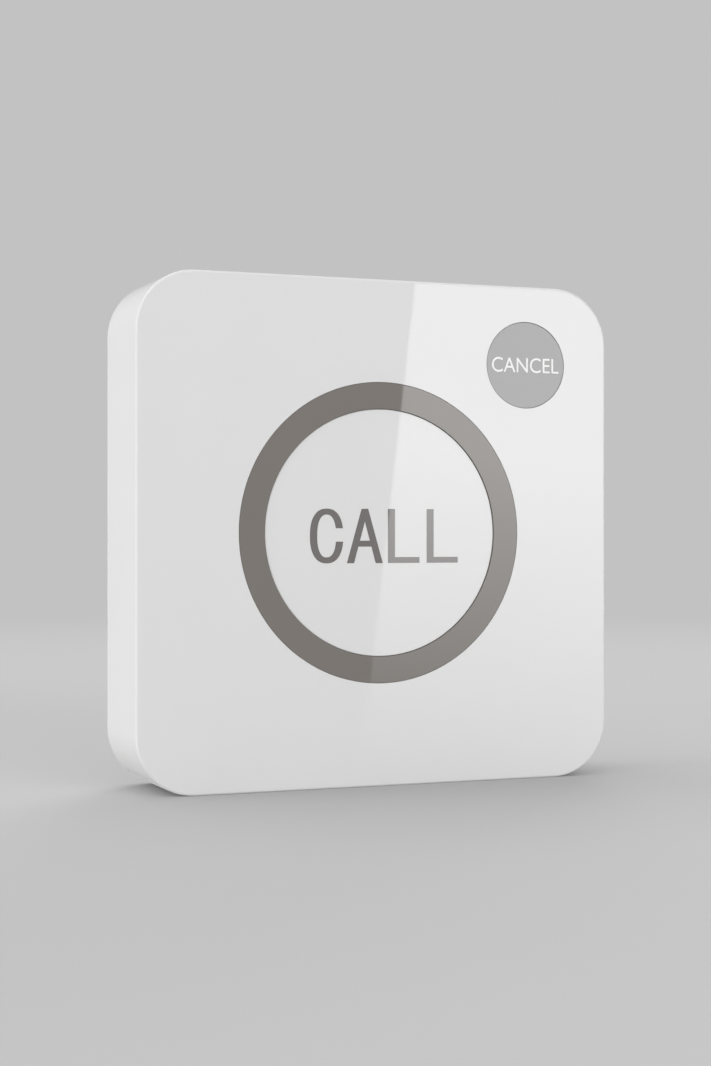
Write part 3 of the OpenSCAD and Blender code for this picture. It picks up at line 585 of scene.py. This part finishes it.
def capLug(degrees):
    cap = batteryCap
    top = cap["rim"] - cap["rimEdge"] / 2
    half = math.radians(cap["lugTurn"] / 2)
    centre = Vector(((cap["lug"] + cap["lugInner"]) / 2, -(cap["lugFoot"] + top) / 2, 0)) * mm
    deselect()
    bpy.ops.mesh.primitive_plane_add(size=1, location=centre)
    piece = takeName("lug")
    piece.scale = ((cap["lug"] - cap["lugInner"]) * mm, (top - cap["lugFoot"]) * mm, 1)
    settle(piece)
    piece.rotation_euler = (0, half - math.radians(degrees), 0)
    settle(piece)
    bpy.ops.object.mode_set(mode="EDIT")
    bpy.ops.mesh.select_all(action="SELECT")
    bpy.ops.mesh.spin(steps=cap["lugSteps"], angle=2 * half, center=(0, 0, 0), axis=(0, 1, 0))
    bpy.ops.mesh.select_all(action="SELECT")
    bpy.ops.mesh.normals_make_consistent(inside=False)
    bpy.ops.mesh.dissolve_limited(angle_limit=flat)
    bpy.ops.object.mode_set(mode="OBJECT")
    return piece


def coinSlot():  # the cutter for the slot, with a mouth that flares
    cap = batteryCap
    length, width = cap["slot"]
    flare = cap["slotFlare"]
    floor, mouth = cap["face"] + cap["slotDeep"], cap["face"] + flare
    deselect()
    bpy.ops.mesh.primitive_cube_add(size=1, location=(0, -(floor + mouth) / 2 * mm, 0),
                                    scale=(length * mm, (floor - mouth) * mm, width * mm))
    piece = takeName("slot")
    settle(piece)
    bpy.ops.object.mode_set(mode="EDIT")
    choose(piece, "FACE", lambda f: f.normal.y > facing)
    bpy.ops.mesh.extrude_region_move(TRANSFORM_OT_translate={"value": (0, 2 * flare * mm, 0)})
    bpy.ops.transform.resize(value=(1 + 4 * flare / length, 1, 1 + 4 * flare / width))
    bpy.ops.object.mode_set(mode="OBJECT")
    return piece


def turnedCap():
    cap = batteryCap
    outline = [(0, cap["face"])]
    backEdge = arc(cap["radius"], cap["face"], cap["edge"])
    outline += [(radius, 2 * cap["face"] - out) for radius, out in backEdge]
    outline += [(cap["radius"], cap["groove"][0]), (cap["grooveRadius"], cap["groove"][0])]
    outline += [(cap["grooveRadius"], cap["groove"][1]), (cap["radius"], cap["groove"][1])]
    outline += arc(cap["radius"], cap["rim"], cap["rimEdge"], 2)[::-1]
    outline += [(cap["pocket"], cap["rim"]), (cap["pocket"], cap["pocketFloor"]), (0, cap["pocketFloor"])]
    piece = turned("batteryCap", outline)
    for degrees in cap["lugsAt"]:
        combine(piece, capLug(degrees), "UNION")
    combine(piece, coinSlot(), "DIFFERENCE")
    dropSlivers(piece)
    smooth(piece)
    return piece


finished(turnedCap(), "battery_door", "white_satin", satinAbs, "battery_cap")
print("battery cap done")

# Position marks of the battery cap: a pointer on the cap, a dot for locked and a ring for open on the cover
marks = {"height": 0.35, "pointer": 1.5, "pointerAt": 11.8, "dot": 0.9, "ringOuter": 1.1, "ringInner": 0.7,
         "coverAt": 16.4, "capFace": 2.65, "coverFace": 2.6, "turn": 40,
         "sunk": 0.05, "edge": 0.08, "ringDeep": 0.22, "sides": 24}


def raisedMark(name, radius, vertices, circle, degrees, face):
    turn = math.radians(degrees)
    out = face - marks["height"] / 2 + marks["sunk"]
    place = Vector((circle * math.cos(turn), -out, circle * math.sin(turn))) * mm
    deselect()
    bpy.ops.mesh.primitive_cylinder_add(vertices=vertices, radius=radius * mm, depth=marks["height"] * mm,
                                        location=place, rotation=(math.pi / 2, math.pi / 2 - turn, 0))
    piece = takeName(name)
    settle(piece)
    bpy.ops.object.mode_set(mode="EDIT")
    choose(piece, "FACE", lambda f: f.normal.y > facing)
    bpy.ops.mesh.bevel(offset=marks["edge"] * mm, segments=2, affect="EDGES")
    bpy.ops.object.mode_set(mode="OBJECT")
    return piece


pointer = raisedMark("capPointer", marks["pointer"], 3, marks["pointerAt"], 0, marks["capFace"])
lockedDot = raisedMark("lockedDot", marks["dot"], marks["sides"], marks["coverAt"], 0, marks["coverFace"])
openRing = raisedMark("openRing", marks["ringOuter"], marks["sides"], marks["coverAt"], -marks["turn"],
                      marks["coverFace"])
pick(openRing)
bpy.ops.object.mode_set(mode="EDIT")
choose(openRing, "FACE", lambda f: f.normal.y > facing)
bpy.ops.mesh.inset(thickness=(marks["ringOuter"] - marks["ringInner"]) * mm)
bpy.ops.transform.translate(value=(0, -marks["ringDeep"] * mm, 0))
for mark, body in ((pointer, "battery_door"), (lockedDot, "unit"), (openRing, "unit")):
    smooth(mark)
    finished(mark, body, "white_satin", satinAbs)
print("marks done")

# Stage: a paper floor that fades into a pale backdrop, soft lamps, and a card that shows only in the gloss
stage = {"paper": "#bebebe", "backdrop": "#c2c2c2", "radius": 4000, "fadeFrom": 200, "fadeTo": 700}


def backdropRays(owner):  # 1 for the rays that see the backdrop: camera, gloss and glass
    path = addNode(owner, "ShaderNodeLightPath", {}, {})
    seen = path.outputs["Is Camera Ray"]
    for kind in ("Is Glossy Ray", "Is Transmission Ray"):
        both = addNode(owner, "ShaderNodeMath", {"operation": "MAXIMUM"}, {0: seen, 1: path.outputs[kind]})
        seen = both.outputs[0]
    return seen


def paleFloor():
    deselect()
    bpy.ops.mesh.primitive_circle_add(vertices=96, radius=stage["radius"] * mm, fill_type="NGON",
                                      location=(0, 0, cadBox[0].z))
    piece = takeName("floor")
    settle(piece)
    material = bpy.data.materials.new("paper floor")
    material.use_nodes = True
    material.node_tree.nodes.clear()
    place = addNode(material, "ShaderNodeTexCoord", {}, {}).outputs["Object"]
    distance = addNode(material, "ShaderNodeVectorMath", {"operation": "LENGTH"}, {0: place})
    far = addNode(material, "ShaderNodeMapRange", {"interpolation_type": "SMOOTHSTEP"},
                  {"Value": distance.outputs["Value"], "From Min": stage["fadeFrom"] * mm,
                   "From Max": stage["fadeTo"] * mm})
    share = addNode(material, "ShaderNodeMath", {"operation": "MULTIPLY"},
                    {0: far.outputs["Result"], 1: backdropRays(material)})
    paper = addNode(material, "ShaderNodeBsdfDiffuse", {}, {"Color": linear(stage["paper"])})
    fade = addNode(material, "ShaderNodeEmission", {}, {"Color": linear(stage["backdrop"])})
    blend = addNode(material, "ShaderNodeMixShader", {},
                    {0: share.outputs[0], 1: paper.outputs[0], 2: fade.outputs[0]})
    addNode(material, "ShaderNodeOutputMaterial", {}, {"Surface": blend.outputs[0]})
    piece.data.materials.append(material)
    piece.visible_glossy = False  # leaves the card's low end free to show in the gloss


paleFloor()

card = {"low": (-145, 48), "left": 250.9, "lean": 0.1217, "width": 150, "top": 138, "out": 614, "glow": 3.6}


def glossCard():
    lean = math.atan(card["lean"])
    length = (card["top"] - card["low"][0]) / math.cos(lean)
    deselect()
    bpy.ops.mesh.primitive_plane_add(size=1)
    piece = takeName("glossCard")
    piece.scale = (card["width"] * mm, length * mm, 1)
    piece.rotation_euler = (math.pi / 2, 0, 0)
    piece.location = (card["width"] / 2 * mm, 0, length / 2 * mm)
    settle(piece)
    piece.rotation_euler = (0, lean, 0)
    foot = card["left"] + card["lean"] * card["low"][0]
    piece.location = (foot * mm, -card["out"] * mm, card["low"][0] * mm)
    material = bpy.data.materials.new("gloss card")
    material.use_nodes = True
    material.node_tree.nodes.clear()
    place = addNode(material, "ShaderNodeTexCoord", {}, {}).outputs["Object"]
    split = addNode(material, "ShaderNodeSeparateXYZ", {}, {"Vector": place})
    fade = addNode(material, "ShaderNodeMapRange", {},
                   {"Value": split.outputs["Z"], "From Min": 0,
                    "From Max": (card["low"][1] - card["low"][0]) * mm, "To Max": card["glow"]})
    glow = addNode(material, "ShaderNodeEmission", {}, {"Strength": fade.outputs["Result"]})
    addNode(material, "ShaderNodeOutputMaterial", {}, {"Surface": glow.outputs["Emission"]})
    piece.data.materials.append(material)
    piece.visible_camera = piece.visible_diffuse = piece.visible_shadow = piece.visible_transmission = False


glossCard()

lamps = {
    "leftLamp": {"place": (-1880, 250, 150), "size": 1200, "watts": 19.5},
    "frontLamp": {"place": (300, -1500, 300), "size": 1000, "watts": 8.2},
    "rightLamp": {"place": (1900, -150, 300), "size": 1200, "watts": 2},
    "topLamp": {"place": (100, 700, 1750), "size": 1200, "watts": 5.5},
    "backLamp": {"place": (900, 1400, 700), "size": 800, "watts": 7.2},
}
middle = (cadBox[0] + cadBox[1]) / 2
for name, lamp in lamps.items():
    deselect()
    bpy.ops.object.light_add(type="AREA", location=Vector(lamp["place"]) * mm)
    light = takeName(name)
    light.data.size = lamp["size"] * mm
    light.data.energy = lamp["watts"]
    light.rotation_euler = (light.location - middle).to_track_quat("Z", "Y").to_euler()
    light.visible_camera = False
    light.visible_glossy = False

# the room's light is brightest low on the left
room = {"colour": "#e6e6e6", "bright": (-0.6, 0, -0.8), "least": 0.65, "most": 2.15}
world = bpy.data.worlds.new("soft room")
bpy.context.scene.world = world
world.use_nodes = True
world.node_tree.nodes.clear()
place = addNode(world, "ShaderNodeTexCoord", {}, {}).outputs["Generated"]
near = addNode(world, "ShaderNodeVectorMath", {"operation": "DOT_PRODUCT"}, {0: place, 1: room["bright"]})
glow = addNode(world, "ShaderNodeMapRange", {}, {"Value": near.outputs["Value"], "From Min": -1,
                                                 "To Min": room["least"], "To Max": room["most"]})
air = addNode(world, "ShaderNodeBackground", {},
              {"Color": linear(room["colour"]), "Strength": glow.outputs["Result"]})
backdrop = addNode(world, "ShaderNodeBackground", {}, {"Color": linear(stage["backdrop"])})
both = addNode(world, "ShaderNodeMixShader", {},
               {0: backdropRays(world), 1: air.outputs[0], 2: backdrop.outputs[0]})
addNode(world, "ShaderNodeOutputWorld", {}, {"Surface": both.outputs[0]})
print("stage lit")

# Camera: fitted to the four edges of the face
cameraSet = {"place": (-123.94, -316.33, -0.05), "look": (0.37178, 0.92832, 0), "lens": 64.12,
             "sensor": 36, "nearest": 10}
deselect()
bpy.ops.object.camera_add(location=Vector(cameraSet["place"]) * mm)
camera = takeName("camera")
camera.rotation_euler = Vector(cameraSet["look"]).to_track_quat("-Z", "Y").to_euler()
camera.data.lens = cameraSet["lens"]
camera.data.sensor_width = cameraSet["sensor"]
camera.data.clip_start = cameraSet["nearest"] * mm
bpy.context.scene.camera = camera
bpy.context.scene.view_settings.view_transform = "Standard"
print("camera set")
